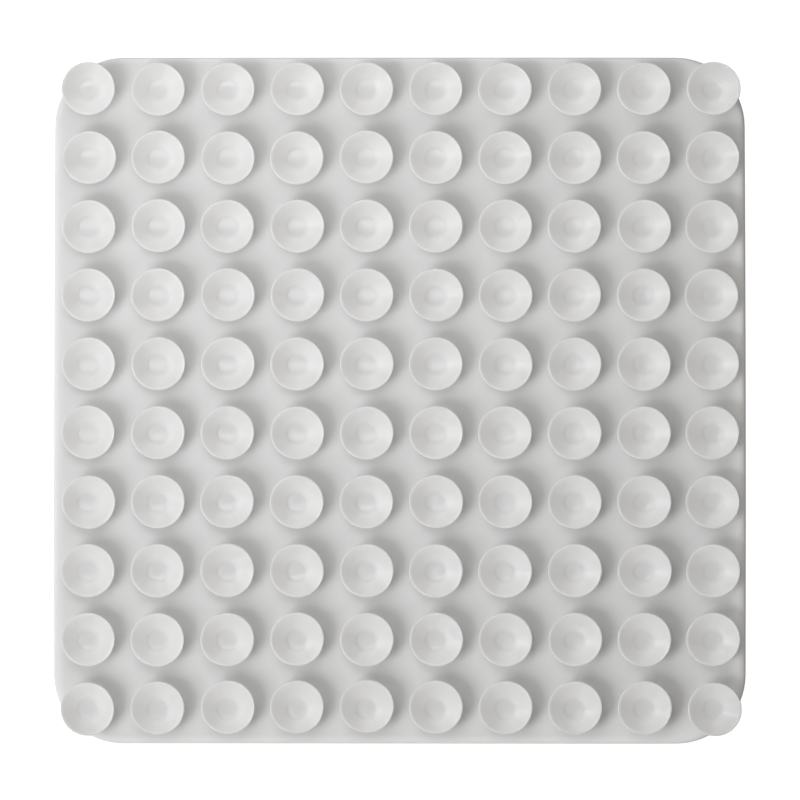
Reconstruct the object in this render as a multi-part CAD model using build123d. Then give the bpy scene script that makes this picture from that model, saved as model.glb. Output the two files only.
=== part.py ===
"""Square anti-slip shower mat with suction cups, lying on its tread face with the cups standing up.

The mat is one elastomer moulding. Each node is one working region of it: the sheet, the tread bars under it,
and, for every row of cups, the necks, the flexible skirts and the sealing lips.
"""
from build123d import *
import os

# sheet, in millimetres
SIDE = 530.0
CORNER_RADIUS = 53.0
SHEET_THICKNESS = 3.6
UPPER_EDGE_RADIUS = 3.2
LOWER_EDGE_RADIUS = 0.3

# tread bars under the sheet
TREAD_HEIGHT = 0.6
TREAD_BARS = 20
TREAD_BAR_WIDTH = 17.5
TREAD_MARGIN = 7.0
TREAD_CHAMFER = 0.25

# grid of cups
CUPS_PER_SIDE = 10
PITCH = SIDE / CUPS_PER_SIDE

# heights of one cup above the sheet's upper face
SKIRT_FOOT = 2.6
CUP_FLOOR = 5.1
LIP_FOOT = 10.6
CUP_HEIGHT = 12.0

# radii of one cup
NECK_FOOT_RADIUS = 5.6
FLOOR_RADIUS = 6.5
LIP_RADIUS = 20.6
LIP_OUTER_FOOT_RADIUS = 20.05
LIP_INNER_RADIUS = 19.1
LIP_LAND_OUTER_RADIUS = 20.1
LIP_LAND_INNER_RADIUS = 19.6
LIP_BULGE_HEIGHT = 0.6
LIP_OUTER_CHAMFER = 0.3
LIP_INNER_CHAMFER = 0.6

# the skirt is a straight cone inside and bows slightly outside, so that it thins towards the lip
SKIRT_BOW_RADIUS = 15.2
SKIRT_BOW_HEIGHT = 7.35

SHEET_TOP = TREAD_HEIGHT + SHEET_THICKNESS


def revolve_profile(profile):
    """A solid of revolution about Z from a closed profile drawn in the XZ plane."""
    return revolve(make_face(profile), Axis.Z)


def section(radius, height):
    """A point of a cup's section, with its height counted from the sheet's upper face."""
    return (radius, 0, SHEET_TOP + height)


def sheet():
    plate = extrude(RectangleRounded(SIDE, SIDE, CORNER_RADIUS), SHEET_THICKNESS)
    plate = Pos(0, 0, TREAD_HEIGHT) * plate
    upper_edges = plate.faces().sort_by(Axis.Z)[-1].edges()
    plate = fillet(upper_edges, UPPER_EDGE_RADIUS)
    lower_edges = plate.faces().sort_by(Axis.Z)[0].edges()
    return fillet(lower_edges, LOWER_EDGE_RADIUS)


def tread_bar(number):
    """One low bar that runs across the mat and ends short of its edge."""
    inner_side = SIDE - 2 * TREAD_MARGIN
    spacing = (inner_side - TREAD_BAR_WIDTH) / (TREAD_BARS - 1)
    y = (number - (TREAD_BARS - 1) / 2) * spacing
    field = RectangleRounded(inner_side, inner_side, CORNER_RADIUS - TREAD_MARGIN)
    strip = Pos(0, y) * Rectangle(SIDE, TREAD_BAR_WIDTH)
    bar = extrude(field & strip, TREAD_HEIGHT)
    lower_edges = bar.faces().sort_by(Axis.Z)[0].edges()
    return chamfer(lower_edges, TREAD_CHAMFER)


def neck():
    """The stud that joins a cup to the sheet, with the floor of the cup as its top."""
    corners = [
        section(0, 0),
        section(NECK_FOOT_RADIUS, 0),
        section(FLOOR_RADIUS, SKIRT_FOOT),
        section(FLOOR_RADIUS, CUP_FLOOR),
        section(0, CUP_FLOOR),
    ]
    return revolve_profile([Polyline(*corners, close=True)])


def skirt():
    """The thin flexible wall of a cup, from the floor's rim up to the foot of the lip."""
    outer_foot = section(FLOOR_RADIUS, SKIRT_FOOT)
    outer_top = section(LIP_OUTER_FOOT_RADIUS, LIP_FOOT)
    inner_top = section(LIP_INNER_RADIUS, LIP_FOOT)
    inner_foot = section(FLOOR_RADIUS, CUP_FLOOR)
    profile = [
        ThreePointArc(outer_foot, section(SKIRT_BOW_RADIUS, SKIRT_BOW_HEIGHT), outer_top),
        Polyline(outer_top, inner_top, inner_foot, outer_foot),
    ]
    return revolve_profile(profile)


def lip():
    """The sealing ring at a cup's mouth, with a narrow flat land on top."""
    corners = [
        section(LIP_INNER_RADIUS, LIP_FOOT),
        section(LIP_OUTER_FOOT_RADIUS, LIP_FOOT),
        section(LIP_RADIUS, LIP_FOOT + LIP_BULGE_HEIGHT),
        section(LIP_RADIUS, CUP_HEIGHT - LIP_OUTER_CHAMFER),
        section(LIP_LAND_OUTER_RADIUS, CUP_HEIGHT),
        section(LIP_LAND_INNER_RADIUS, CUP_HEIGHT),
        section(LIP_INNER_RADIUS, CUP_HEIGHT - LIP_INNER_CHAMFER),
    ]
    return revolve_profile([Polyline(*corners, close=True)])


def row_of(shape, row):
    """Ten copies of one piece of a cup, along row number `row`, counted from the +Y side."""
    half = (CUPS_PER_SIDE - 1) / 2
    y = (half - row) * PITCH
    return Compound(children=[Pos((i - half) * PITCH, y) * shape for i in range(CUPS_PER_SIDE)])


def write(name, shape):
    export_step(shape, f"parts/{name}.step")


os.makedirs("parts", exist_ok=True)
write("mat_sheet", sheet())
write("tread_bars", Compound(children=[tread_bar(n) for n in range(TREAD_BARS)]))
pieces = {"cup_necks": neck(), "cup_skirts": skirt(), "cup_lips": lip()}
for piece_name, piece in pieces.items():
    for row_number in range(CUPS_PER_SIDE):
        write(f"{piece_name}_row_{row_number + 1:02d}", row_of(piece, row_number))
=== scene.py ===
import math
import random

import bpy
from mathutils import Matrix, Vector, noise


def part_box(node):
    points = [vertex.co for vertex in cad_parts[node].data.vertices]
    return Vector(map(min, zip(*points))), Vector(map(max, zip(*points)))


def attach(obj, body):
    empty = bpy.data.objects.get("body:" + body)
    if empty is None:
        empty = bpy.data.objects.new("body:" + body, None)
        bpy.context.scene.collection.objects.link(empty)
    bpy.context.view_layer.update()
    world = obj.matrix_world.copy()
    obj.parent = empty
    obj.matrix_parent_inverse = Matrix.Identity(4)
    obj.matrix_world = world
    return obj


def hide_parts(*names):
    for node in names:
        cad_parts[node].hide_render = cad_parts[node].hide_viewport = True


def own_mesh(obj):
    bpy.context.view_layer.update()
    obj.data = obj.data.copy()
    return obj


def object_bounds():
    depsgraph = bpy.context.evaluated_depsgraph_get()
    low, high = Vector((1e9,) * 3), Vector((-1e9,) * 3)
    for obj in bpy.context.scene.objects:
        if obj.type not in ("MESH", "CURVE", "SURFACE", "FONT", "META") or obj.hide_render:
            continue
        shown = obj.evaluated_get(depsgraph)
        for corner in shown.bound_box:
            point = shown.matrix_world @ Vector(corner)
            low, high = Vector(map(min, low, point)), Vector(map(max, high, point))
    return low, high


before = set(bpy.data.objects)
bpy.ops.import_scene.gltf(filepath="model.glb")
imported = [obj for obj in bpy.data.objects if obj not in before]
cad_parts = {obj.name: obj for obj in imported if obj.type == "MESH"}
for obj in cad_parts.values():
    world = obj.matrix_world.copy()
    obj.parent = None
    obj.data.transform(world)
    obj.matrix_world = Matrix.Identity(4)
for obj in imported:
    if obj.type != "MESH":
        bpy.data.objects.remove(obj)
cad_low, cad_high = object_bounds()

# without a seed, noise_vector would differ from run to run
noise.seed_set(172)

MM = 0.001

# taken from the frame
ROWS = [name[-2:] for name in sorted(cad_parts) if name.startswith("cup_lips_row_")]
CUPS = len(ROWS)
SIDE = (cad_high - cad_low).x
PITCH = SIDE / CUPS
SHEET_LOW, SHEET_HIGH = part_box("mat_sheet")
SHEET_TOP = SHEET_HIGH.z
CUP_HEIGHT = cad_high.z - SHEET_TOP
SKIRT_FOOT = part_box("cup_skirts_row_01")[0].z - SHEET_TOP

# the sheet: its corners, its rounded upper edge (least width, greatest width and depth), its lower edge
CORNER_RADIUS = PITCH
EDGE_WIDTHS = (4.5 * MM, 8.5 * MM)
EDGE_DROP = 3.2 * MM
LOWER_EDGE = 0.3 * MM

# how far in from the outline the sheet is painted paler, as painted light: its edge, and the strip inside its
# right side
PAINTED_LIGHT_EDGE = 6.5 * MM
PAINTED_LIGHT_STRIP_START = 1.5 * MM
PAINTED_LIGHT_STRIP_FADE = 7 * MM
PAINTED_LIGHT_STRIP_END = 17 * MM

# how the soft moulding lies: sides bowed along x and y, a slow drift in the plane, a low wave in height
SIDE_BOW = (0.5 * MM, 0.2 * MM)
DRIFT, DRIFT_SCALE = 0.35 * MM, 4.5
WAVE, WAVE_SCALE = 0.12 * MM, 9.0

# the grid of cups is stretched along x and y and stands off the sheet's middle
CUP_SPREAD = (1.0044, 1.0027)
CUP_SHIFT = (1.0 * MM, -0.4 * MM)

# from here to here, the cup's painted shade turns to the colour of its wall: its middle is painted darker, as
# the shade in its dish where less light comes through the thick moulding
CUP_CORE_SHADE = (6.5 * MM, 10.0 * MM)


# ---------------------------------------------------------------- materials

def node(tree, kind, **values):
    """A shader node with its input sockets or attributes set by name."""
    made = tree.nodes.new(kind)
    for key, value in values.items():
        if hasattr(made, key):
            setattr(made, key, value)
        else:
            made.inputs[key.replace("_", " ")].default_value = value
    return made


def grain(tree, place, scale, detail=3.0):
    """Smooth noise over the object's own coordinates."""
    made = node(tree, "ShaderNodeTexNoise", Scale=scale, Detail=detail)
    tree.links.new(place, made.inputs["Vector"])
    return made.outputs["Fac"]


def mapped(tree, value, low, high, start=0.3, end=0.7):
    """A value brought from start..end to low..high."""
    made = tree.nodes.new("ShaderNodeMapRange")
    made.inputs["From Min"].default_value = start
    made.inputs["From Max"].default_value = end
    made.inputs["To Min"].default_value = low
    made.inputs["To Max"].default_value = high
    tree.links.new(value, made.inputs["Value"])
    return made.outputs["Result"]


def tinted(tree, factor, under, over):
    """A colour that turns from a fixed colour, or another node's, to a fixed one."""
    made = node(tree, "ShaderNodeMix", data_type="RGBA")
    if isinstance(under, tuple):
        made.inputs["A"].default_value = (*under, 1.0)
    else:
        tree.links.new(under, made.inputs["A"])
    made.inputs["B"].default_value = (*over, 1.0)
    tree.links.new(factor, made.inputs["Factor"])
    return made.outputs["Result"]


def bumped(tree, height, distance, strength, below=None):
    """A bump layer, on top of another if one is given."""
    made = node(tree, "ShaderNodeBump", Strength=strength, Distance=distance)
    tree.links.new(height, made.inputs["Height"])
    if below is not None:
        tree.links.new(below, made.inputs["Normal"])
    return made.outputs["Normal"]


def from_cup_axis(tree, place):
    """Distance from the axis of the nearest cup, in cup pitches."""
    cell = node(tree, "ShaderNodeVectorMath", operation="MULTIPLY_ADD")
    tree.links.new(place, cell.inputs[0])
    cell.inputs[1].default_value = (1 / (PITCH * CUP_SPREAD[0]), 1 / (PITCH * CUP_SPREAD[1]), 0.0)
    cell.inputs[2].default_value = (-CUP_SHIFT[0] / PITCH, -CUP_SHIFT[1] / PITCH, 0.0)
    part = node(tree, "ShaderNodeVectorMath", operation="FRACTION")
    tree.links.new(cell.outputs["Vector"], part.inputs[0])
    centred = node(tree, "ShaderNodeVectorMath", operation="SUBTRACT")
    tree.links.new(part.outputs["Vector"], centred.inputs[0])
    centred.inputs[1].default_value = (0.5, 0.5, 0.0)
    length = node(tree, "ShaderNodeVectorMath", operation="LENGTH")
    tree.links.new(centred.outputs["Vector"], length.inputs[0])
    return length.outputs["Value"]


def elastomer(name, first, second, roughness, scatter, depth, coarse_bump, fine_bump, core_shade=None, edge=None):
    """Soft white moulded plastic: cloudy colour, uneven gloss, an orange-peel skin, light scattered inside.

    With a colour for the cups' middles, each cup turns to it over its middle: painted shade in the dish,
    where less light comes through the thick moulding. With an edge colour, the mesh turns to it as far as its
    points carry painted light: painted light near the sheet's outline and a painted bright rim on the cups'
    lips.
    """
    material = bpy.data.materials.new(name)
    material.use_nodes = True
    tree = material.node_tree
    shader = tree.nodes["Principled BSDF"]
    place = tree.nodes.new("ShaderNodeTexCoord").outputs["Object"]
    cloud = mapped(tree, grain(tree, place, scale=18.0), 0.0, 1.0)
    colour = tinted(tree, cloud, first, second)
    # painted shade: each cup is painted darker over its middle
    if core_shade is not None:
        core_ends, wall_starts = CUP_CORE_SHADE[0] / PITCH, CUP_CORE_SHADE[1] / PITCH
        middle = mapped(tree, from_cup_axis(tree, place), 1.0, 0.0, core_ends, wall_starts)
        colour = tinted(tree, middle, colour, core_shade)
    # painted light: painted light near the sheet's outline, a painted bright rim on the cups' lips
    if edge is not None:
        painted_light = node(tree, "ShaderNodeAttribute", attribute_name="painted_light")
        colour = tinted(tree, painted_light.outputs["Fac"], colour, edge)
    tree.links.new(colour, shader.inputs["Base Color"])
    gloss = mapped(tree, grain(tree, place, scale=55.0, detail=4.0), *roughness)
    tree.links.new(gloss, shader.inputs["Roughness"])
    peel = bumped(tree, grain(tree, place, scale=260.0, detail=2.0), 0.4 * MM, coarse_bump)
    skin = bumped(tree, grain(tree, place, scale=1900.0, detail=2.0), 0.1 * MM, fine_bump, peel)
    tree.links.new(skin, shader.inputs["Normal"])
    shader.inputs["Subsurface Weight"].default_value = scatter
    shader.inputs["Subsurface Radius"].default_value = (1.0, 0.95, 0.9)
    shader.inputs["Subsurface Scale"].default_value = depth
    shader.inputs["IOR"].default_value = 1.45
    return material


# the sheet's edge colour is painted light near its outline and in the strip inside its right side
SHEET_MATERIAL = elastomer(
    "sheet_elastomer", (0.762, 0.767, 0.768), (0.748, 0.753, 0.754), roughness=(0.34, 0.46),
    scatter=0.3, depth=2.0 * MM, coarse_bump=0.05, fine_bump=0.03, edge=(0.97, 0.97, 0.965),
)
# the cups' edge colour is a painted bright rim on the lips, and their core colour painted shade over each
# cup's middle
CUP_MATERIAL = elastomer(
    "cup_elastomer", (0.918, 0.903, 0.89), (0.908, 0.892, 0.878), roughness=(0.12, 0.17),
    scatter=1.0, depth=3.2 * MM, coarse_bump=0.03, fine_bump=0.02,
    core_shade=(0.8, 0.806, 0.805), edge=(0.99, 0.983, 0.97),
)
TREAD_MATERIAL = elastomer(
    "tread_elastomer", (0.785, 0.787, 0.783), (0.76, 0.762, 0.758), roughness=(0.5, 0.62),
    scatter=0.2, depth=1.5 * MM, coarse_bump=0.12, fine_bump=0.1,
)


# ---------------------------------------------------------------- mesh helpers

def add_mesh(name, points, faces, material, body, slot):
    """A smooth piece of the mat that rides on a body."""
    mesh = bpy.data.meshes.new(name)
    mesh.from_pydata([tuple(p) for p in points], [], faces)
    mesh.validate()
    mesh.polygons.foreach_set("use_smooth", [True] * len(mesh.polygons))
    mesh.materials.append(material)
    piece = bpy.data.objects.new(name, mesh)
    bpy.context.scene.collection.objects.link(piece)
    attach(piece, body)
    return piece


def set_painted_light(piece, shares):
    """Say how much painted light each point of a piece has: how far it turns to its material's edge colour.
    """
    piece.data.attributes.new("painted_light", "FLOAT", "POINT").data.foreach_set("value", shares)


def smooth_line(points, steps):
    """Catmull-Rom curve through the points, with so many steps between each two."""
    line = []
    last = len(points) - 1
    for i in range(last):
        a, b = points[max(i - 1, 0)], points[i]
        c, d = points[i + 1], points[min(i + 2, last)]
        for step in range(steps):
            t = step / steps
            line.append(tuple(
                0.5 * (2 * b[k] + (c[k] - a[k]) * t + (2 * a[k] - 5 * b[k] + 4 * c[k] - d[k]) * t * t
                       + (3 * b[k] - a[k] - 3 * c[k] + d[k]) * t ** 3)
                for k in range(2)
            ))
    line.append(tuple(points[-1]))
    return line


def lathe(profile, segments, place):
    """Points and faces of a closed solid of revolution.

    The profile starts and ends on the axis, as (radius, height).
    """
    rings = profile[1:-1]
    points = [place(0.0, 0.0, profile[0][1])]
    for radius, height in rings:
        for s in range(segments):
            turn = 2 * math.pi * s / segments
            points.append(place(radius * math.cos(turn), radius * math.sin(turn), height))
    points.append(place(0.0, 0.0, profile[-1][1]))
    faces = []
    for s in range(segments):
        after = (s + 1) % segments
        faces.append((0, 1 + after, 1 + s))
        for r in range(len(rings) - 1):
            low, high = 1 + r * segments, 1 + (r + 1) * segments
            faces.append((low + s, low + after, high + after, high + s))
        end = 1 + (len(rings) - 1) * segments
        faces.append((end + s, end + after, len(points) - 1))
    return points, [tuple(reversed(f)) for f in faces]


def rounded_square(half, radius, per_corner, per_side):
    """Points round a square with round corners, counter-clockwise from the right side's lower end."""
    loop = []
    straight = half - radius
    for quarter in range(4):
        turn = quarter * math.pi / 2
        ahead, side = (math.cos(turn), math.sin(turn)), (-math.sin(turn), math.cos(turn))
        for i in range(per_side):
            along = -straight + 2 * straight * i / per_side
            loop.append((ahead[0] * half + side[0] * along, ahead[1] * half + side[1] * along))
        for i in range(per_corner):
            angle = turn + math.pi / 2 * i / per_corner
            loop.append((
                (ahead[0] + side[0]) * straight + radius * math.cos(angle),
                (ahead[1] + side[1]) * straight + radius * math.sin(angle),
            ))
    return loop


# ---------------------------------------------------------------- sheet

# rings of points, by how far they reach: on the flat of the upper face, and on the lower face
UPPER_RINGS = (0.03, 0.06, 0.09, 0.12, 0.15, 0.18, 0.205, 0.23, 0.245)
LOWER_RINGS = (0.15, 0.06)
LOWER_BORDER = 9 * MM
# closer rings in a band inside the upper edge, and round the lower edge
EDGE_BAND, EDGE_BAND_STEPS = 14 * MM, 18
LOWER_EDGE_STEPS = 3
CORNER_STEPS, SIDE_STEPS = 16, 22
# the least corner radius of a ring, as a share of its reach
LEAST_ROUNDNESS = 0.12


def sheet_wave(x, y):
    """How far the soft sheet's upper face stands above or below flat."""
    return WAVE * noise.noise(Vector((x * WAVE_SCALE, y * WAVE_SCALE, 4.0)))


def settled(x, y):
    """Where a point of the flat moulding lies: its sides bow out a little, and nothing lies quite square."""
    u, v = 2 * x / SIDE, 2 * y / SIDE
    drift = DRIFT * noise.noise_vector(Vector((x * DRIFT_SCALE, y * DRIFT_SCALE, 2.0)))
    return x + SIDE_BOW[0] * u * (1 - v * v) + drift.x, y + SIDE_BOW[1] * v * (1 - u * u) + drift.y


def upper_edge(inset, x, y):
    """How far the sheet's upper face has fallen, so far in from its outline.

    Its rounding is narrow on the far and right sides and broad on the near and left sides.
    """
    near_left = 0.5 - 0.5 * (x + y) / (abs(x) + abs(y))
    width = EDGE_WIDTHS[0] + (EDGE_WIDTHS[1] - EDGE_WIDTHS[0]) * near_left
    if inset >= width:
        return 0.0
    return EDGE_DROP * (1 - math.sqrt(1 - (1 - inset / width) ** 2))


def painted_edge_light(inset, x, y):
    """How much painted light the sheet has, so far in from its outline: how far it is painted paler.

    The painted light is strongest at its left, far and near edges and in a strip inside its right edge, where
    the cups' shadows are painted lighter, and a little over all its near side.
    """
    edge = max(1 - inset / PAINTED_LIGHT_EDGE, 0.0)
    fade = (PAINTED_LIGHT_STRIP_END - inset) / (PAINTED_LIGHT_STRIP_END - PAINTED_LIGHT_STRIP_FADE)
    strip = min(max(fade, 0.0), 1.0) * min(inset / PAINTED_LIGHT_STRIP_START, 1.0)
    left, right = max(-2 * x / SIDE, 0.0) ** 4, max(2 * x / SIDE, 0.0) ** 4
    far, near = max(2 * y / SIDE, 0.0) ** 4, max(-2 * y / SIDE, 0.0) ** 4
    sides = max(left * edge ** 3, 0.85 * far * edge ** 1.3, near * (0.3 + 0.7 * edge ** 0.8))
    return min(sides * (1 - right) + 0.95 * strip * right * (1 - far), 1.0)


def sheet_section():
    """The sheet's rings as (reach, height): over its upper face, round its edge and back under it."""
    half, top, low = SIDE / 2, SHEET_TOP, SHEET_LOW.z
    section = [(reach, top) for reach in UPPER_RINGS]
    for i in range(EDGE_BAND_STEPS + 1):
        section.append((half - EDGE_BAND * (1 - math.sin(math.pi / 2 * i / EDGE_BAND_STEPS)), top))
    for i in range(LOWER_EDGE_STEPS + 1):
        angle = -math.pi / 2 * i / LOWER_EDGE_STEPS
        reach = half - LOWER_EDGE + LOWER_EDGE * math.cos(angle)
        section.append((reach, low + LOWER_EDGE + LOWER_EDGE * math.sin(angle)))
    return section + [(half - LOWER_BORDER, low)] + [(reach, low) for reach in LOWER_RINGS]


def build_sheet():
    half, top = SIDE / 2, SHEET_TOP
    section = sheet_section()
    points, faces, painted_light = [(0.0, 0.0, top + sheet_wave(0, 0))], [], [0.0]
    count = 4 * (CORNER_STEPS + SIDE_STEPS)
    for reach, height in section:
        radius = max(CORNER_RADIUS - (half - reach), LEAST_ROUNDNESS * reach)
        for x, y in rounded_square(reach, radius, CORNER_STEPS, SIDE_STEPS):
            lift = sheet_wave(x, y) - upper_edge(half - reach, x, y) if height == top else 0.0
            points.append((*settled(x, y), height + lift))
            # painted light near the outline, so far in from it
            painted_light.append(painted_edge_light(half - reach, x, y))
    points.append((0.0, 0.0, SHEET_LOW.z))
    painted_light.append(0.0)
    for s in range(count):
        after = (s + 1) % count
        faces.append((0, 1 + s, 1 + after))
        for r in range(len(section) - 1):
            a, b = 1 + r * count, 1 + (r + 1) * count
            faces.append((a + s, b + s, b + after, a + after))
        end = 1 + (len(section) - 1) * count
        faces.append((len(points) - 1, end + after, end + s))
    piece = add_mesh("sheet", points, faces, SHEET_MATERIAL, "mat", "sheet")
    set_painted_light(piece, painted_light)
    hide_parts("mat_sheet")


# ---------------------------------------------------------------- tread

BARS, RIBS = 20, 5
BAR_WIDTH = 17.5 * MM
BAR_SUNK = 0.02 * MM
# across one rib, as (share of its width, share of the bar's height)
RIB = ((0.15, 0.55), (0.3, 1.0), (0.7, 1.0), (0.85, 0.55))
# along one bar, as (share of half its length, share of its height)
BAR_STATIONS = (
    (-1.0, 0.0), (-0.996, 0.7), (-0.985, 1.0), (-0.75, 1.0), (-0.5, 1.0), (-0.25, 1.0), (0.0, 1.0),
    (0.25, 1.0), (0.5, 1.0), (0.75, 1.0), (0.985, 1.0), (0.996, 0.7), (1.0, 0.0),
)


def build_tread():
    """Low bars under the sheet, each with fine ribs along it and rounded ends."""
    box_low, box_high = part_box("tread_bars")
    inner = box_high.x
    radius = CORNER_RADIUS - (SIDE / 2 - inner)
    spacing = (2 * inner - BAR_WIDTH) / (BARS - 1)
    step = BAR_WIDTH / RIBS
    depth = box_high.z - box_low.z + BAR_SUNK
    line = [(-BAR_WIDTH / 2, 0.0)]
    for rib in range(RIBS):
        start = -BAR_WIDTH / 2 + rib * step
        line += [(start + across * step, drop) for across, drop in RIB]
    line.append((BAR_WIDTH / 2, 0.0))
    row = len(line)
    points, faces = [], []
    for bar in range(BARS):
        middle = (bar - (BARS - 1) / 2) * spacing
        first = len(points)
        for end, tip in BAR_STATIONS:
            for across, drop in line:
                y = middle + across
                over = max(abs(y) - (inner - radius), 0.0)
                reach = inner - radius + math.sqrt(max(radius * radius - over * over, 0.0))
                x, y = settled(end * reach, y)
                points.append((x, y, box_high.z + BAR_SUNK - (drop * tip) * depth))
        for e in range(len(BAR_STATIONS) - 1):
            for k in range(row - 1):
                a = first + e * row + k
                faces.append((a, a + 1, a + row + 1, a + row))
        for e in range(len(BAR_STATIONS) - 1):
            a, b = first + e * row, first + e * row + row - 1
            faces.append((a, a + row, b + row, b))
    piece = add_mesh("tread", points, faces, TREAD_MATERIAL, "mat", "tread")
    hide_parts("tread_bars")


# ---------------------------------------------------------------- cups

# profiles as (radius, height above the sheet) in millimetres
BELL_INNER = [
    (0.0, 5.2), (2.5, 5.26), (4.6, 5.41), (6.5, 5.66), (7.5, 5.96), (8.7, 6.55), (12.5, 8.45), (18.2, 11.3),
]
BELL_LIP = [
    (18.9, 11.62), (19.4, 11.82), (19.8, 11.94), (20.15, 12.0), (20.42, 11.93), (20.6, 11.65), (20.5, 11.25),
]
BELL_OUTER = [
    (19.4, 10.65), (17.6, 9.85), (15.2, 8.7), (12.0, 6.9), (9.4, 5.2), (8.0, 4.1), (7.1, 3.2), (6.0, 2.65),
    (0.0, 2.6),
]
STUD = [
    (0.0, 3.4), (4.2, 3.4), (5.9, 2.9), (5.75, 1.7), (6.1, 0.9), (7.0, 0.3), (8.3, -0.05), (8.6, -0.35),
    (0.0, -0.4),
]
BELL_STEPS, BELL_SEGMENTS = 3, 72
STUD_STEPS, STUD_SEGMENTS = 2, 40

# the lip is painted paler from this height above the sheet, over so much more: a painted bright rim, for the
# light that glows through the thin lip
LIP_START, LIP_FADE = 11.5 * MM, 0.3 * MM

# how far the corner cups lean outwards along x and y, the right-hand cups to the left,
# and the near cups to the far side
CORNER_LEAN = (0.8 * MM, 0.4 * MM)
RIGHT_LEAN = 1.5 * MM
NEAR_LEAN = 1.3 * MM

# how much the cups differ in their lean, their stretch and the slope of their mouths
LEAN_SPREAD = 0.18 * MM
OVAL_SPREAD = 0.004
DIP_SPREAD = 0.008


class Cup:
    """Where one cup stands, and how far the soft moulding leans and stretches out of true."""

    def __init__(self, column, row, draw):
        half = (CUPS - 1) / 2
        self.x, self.y = settled(
            (column - half) * PITCH * CUP_SPREAD[0] + CUP_SHIFT[0],
            (half - row) * PITCH * CUP_SPREAD[1] + CUP_SHIFT[1],
        )
        u, v = (column - half) / half, (half - row) / half
        corner = abs(u * v) ** 6
        right, near = max(u, 0.0) ** 10, max(-v, 0.0) ** 10
        lean_x = CORNER_LEAN[0] * corner * u - RIGHT_LEAN * right * (1 - v * v)
        lean_y = CORNER_LEAN[1] * corner * v + NEAR_LEAN * near * (1 - u * u)
        self.lean_x = lean_x + draw.gauss(0, LEAN_SPREAD)
        self.lean_y = lean_y + draw.gauss(0, LEAN_SPREAD)
        self.oval = draw.gauss(0, OVAL_SPREAD)
        self.oval_turn = draw.uniform(0, math.pi)
        self.dip = (draw.gauss(0, DIP_SPREAD), draw.gauss(0, DIP_SPREAD))

    def place(self, x, y, height):
        """A point of the cup, given from its axis and the sheet's top in metres, moved to where it stands."""
        share = max(height - SKIRT_FOOT, 0.0) / (CUP_HEIGHT - SKIRT_FOOT)
        turn = 2 * (math.atan2(y, x) - self.oval_turn)
        swell = 1 + self.oval * share * math.cos(turn)
        tilt = share * (self.dip[0] * x + self.dip[1] * y)
        return (
            self.x + x * swell + self.lean_x * share,
            self.y + y * swell + self.lean_y * share,
            SHEET_TOP + height + tilt,
        )


def build_cups():
    draw = random.Random(41)
    bell = [(r * MM, h * MM) for r, h in smooth_line(BELL_INNER + BELL_LIP + BELL_OUTER, BELL_STEPS)]
    stud = [(r * MM, h * MM) for r, h in smooth_line(STUD, STUD_STEPS)]
    # the lips get a painted bright rim
    lip_light_shares = [min(max((height - LIP_START) / LIP_FADE, 0.0), 1.0) for _, height in bell[1:-1]]
    painted_light = [0.0, *(share for share in lip_light_shares for _ in range(BELL_SEGMENTS)), 0.0]
    for row, label in enumerate(ROWS):
        bells, studs = ([], []), ([], [])
        for column in range(CUPS):
            cup = Cup(column, row, draw)
            kinds = ((bells, bell, BELL_SEGMENTS), (studs, stud, STUD_SEGMENTS))
            for (points, faces), profile, segments in kinds:
                new_points, new_faces = lathe(profile, segments, cup.place)
                faces.extend(tuple(i + len(points) for i in f) for f in new_faces)
                points.extend(new_points)
        piece = add_mesh(f"cup_bells_row_{label}", *bells, CUP_MATERIAL, "mat", "cup")
        set_painted_light(piece, painted_light * CUPS)
        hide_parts(f"cup_skirts_row_{label}", f"cup_lips_row_{label}")
        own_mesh(piece)
        piece = add_mesh(f"cup_studs_row_{label}", *studs, CUP_MATERIAL, "mat", "cup")
        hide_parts(f"cup_necks_row_{label}")


# ---------------------------------------------------------------- stage, lights, camera

WHITE = (1.0, 1.0, 1.0)
PANE_COLOUR = (0.99, 1.0, 1.0)
AMBIENT_COLOUR, AMBIENT_STRENGTH = (1.0, 0.974, 0.93), 0.295
BACKDROP_STRENGTH = 1.05
FLOOR_HALF = 6.0
FLOOR_GLOW = 0.8
FLOOR_SEEN, FLOOR_DULL = (0.8, 0.8, 0.8), (0.3, 0.3, 0.3)


def show_and_light(tree, lighting, shown, output):
    """Show one shader to the camera, and light the mat with another."""
    rays = tree.nodes.new("ShaderNodeLightPath")
    mix = tree.nodes.new("ShaderNodeMixShader")
    tree.links.new(rays.outputs["Is Camera Ray"], mix.inputs["Fac"])
    tree.links.new(lighting, mix.inputs[1])
    tree.links.new(shown, mix.inputs[2])
    tree.links.new(mix.outputs["Shader"], output.inputs["Surface"])


def build_floor():
    """A white floor. The mat is lit by a duller one than is seen."""
    corners = ((-1, -1), (1, -1), (1, 1), (-1, 1))
    mesh = bpy.data.meshes.new("floor")
    mesh.from_pydata([(x * FLOOR_HALF, y * FLOOR_HALF, cad_low.z) for x, y in corners], [], [(0, 1, 2, 3)])
    floor = bpy.data.objects.new("floor", mesh)
    bpy.context.scene.collection.objects.link(floor)
    material = bpy.data.materials.new("floor_white")
    material.use_nodes = True
    tree = material.node_tree
    shader = tree.nodes["Principled BSDF"]
    shader.inputs["Base Color"].default_value = (*FLOOR_SEEN, 1.0)
    shader.inputs["Roughness"].default_value = 0.9
    shader.inputs["Specular IOR Level"].default_value = 0.1
    shader.inputs["Emission Color"].default_value = (*WHITE, 1.0)
    shader.inputs["Emission Strength"].default_value = FLOOR_GLOW
    dull = node(tree, "ShaderNodeBsdfDiffuse", Color=(*FLOOR_DULL, 1.0))
    show_and_light(tree, dull.outputs["BSDF"], shader.outputs["BSDF"], tree.nodes["Material Output"])
    mesh.materials.append(material)


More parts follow.
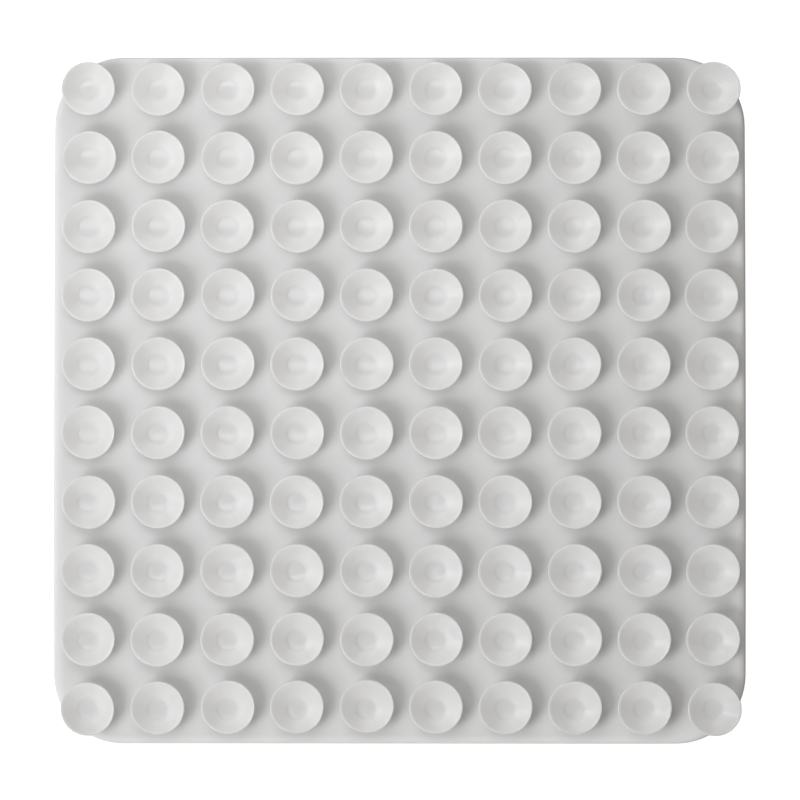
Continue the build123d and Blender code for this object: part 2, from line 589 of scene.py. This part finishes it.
def add_light(name, azimuth, elevation, distance, size, power, colour, gloss_only=False, hung=False):
    """A soft box that stands off from the mat's middle in a direction, in degrees, and faces it.

    A gloss_only box is a pane that the mat mirrors and isn't lit by. The others light the mat without
    showing in it. A hung box lies flat overhead.
    """
    data = bpy.data.lights.new(name, "AREA")
    data.shape = "RECTANGLE"
    data.size, data.size_y = size
    data.energy = power
    data.color = colour
    lamp = bpy.data.objects.new(name, data)
    turn, rise = math.radians(azimuth), math.radians(elevation)
    away = Vector((math.cos(rise) * math.cos(turn), math.cos(rise) * math.sin(turn), math.sin(rise)))
    lamp.location = away * distance
    lamp.rotation_mode = "QUATERNION"
    lamp.rotation_quaternion = (1, 0, 0, 0) if hung else away.to_track_quat("Z", "Y")
    lamp.visible_camera = False
    lamp.visible_glossy = gloss_only
    lamp.visible_diffuse = not gloss_only
    bpy.context.scene.collection.objects.link(lamp)


def build_lights():
    add_light("window", 216, 37, 5.0, (2.3, 2.4), 134.0, (0.98, 0.99, 1.0))
    add_light("overhead", 120, 68, 1.4, (0.9, 0.9), 2.2, (0.975, 0.988, 1.0))
    add_light("near_overhead", 135, 63, 0.78, (0.45, 0.45), 0.3, WHITE)
    add_light("back_wall", 100, 20, 0.9, (0.9, 0.3), 1.3, (1.0, 0.995, 0.99))
    add_light("left_wall", 165, 45, 0.9, (0.4, 0.4), 0.45, WHITE)
    add_light("side_pane", 176, 42, 0.55, (0.38, 0.26), 0.26, PANE_COLOUR, gloss_only=True)
    add_light("ceiling_pane", 115, 78.3, 0.817, (0.46, 0.2), 1.04, PANE_COLOUR, gloss_only=True, hung=True)
    add_light("far_pane", 168, 48.2, 1.074, (0.8, 0.2), 0.9, PANE_COLOUR, gloss_only=True, hung=True)
    add_light("camera_gap", 305, 84.6, 0.8, (0.11, 0.11), 0.13, PANE_COLOUR, gloss_only=True, hung=True)
    add_light("back_pane", 90, 33, 1.2, (1.0, 0.5), 1.5, PANE_COLOUR, gloss_only=True)


def build_world():
    """A white backdrop to see, and a dimmer, warmer light from all round."""
    world = bpy.data.worlds.new("studio")
    bpy.context.scene.world = world
    world.use_nodes = True
    tree = world.node_tree
    tree.nodes.clear()
    ambient = node(tree, "ShaderNodeBackground", Color=(*AMBIENT_COLOUR, 1.0), Strength=AMBIENT_STRENGTH)
    backdrop = node(tree, "ShaderNodeBackground", Color=(*WHITE, 1.0), Strength=BACKDROP_STRENGTH)
    output = tree.nodes.new("ShaderNodeOutputWorld")
    show_and_light(tree, ambient.outputs["Background"], backdrop.outputs["Background"], output)


def build_camera():
    """A very long lens almost straight above the mat, tipped a little towards its near side."""
    elevation = math.radians(83.4)
    lens, sensor = 1000.0, 36.0
    mat_share_of_picture = 0.8625
    distance = SIDE / mat_share_of_picture * lens / sensor
    back = Vector((0.0, -math.cos(elevation), math.sin(elevation)))
    data = bpy.data.cameras.new("camera")
    data.lens, data.sensor_width = lens, sensor
    data.clip_start, data.clip_end = 0.1, 60.0
    camera = bpy.data.objects.new("camera", data)
    camera.location = Vector((0.1 * MM, 0.0, 1.0 * MM)) + back * distance
    camera.rotation_mode = "QUATERNION"
    camera.rotation_quaternion = back.to_track_quat("Z", "Y")
    bpy.context.scene.collection.objects.link(camera)
    bpy.context.scene.camera = camera


build_sheet()
build_tread()
build_cups()
build_floor()
build_lights()
build_world()
build_camera()
bpy.context.scene.view_settings.view_transform = "Standard"
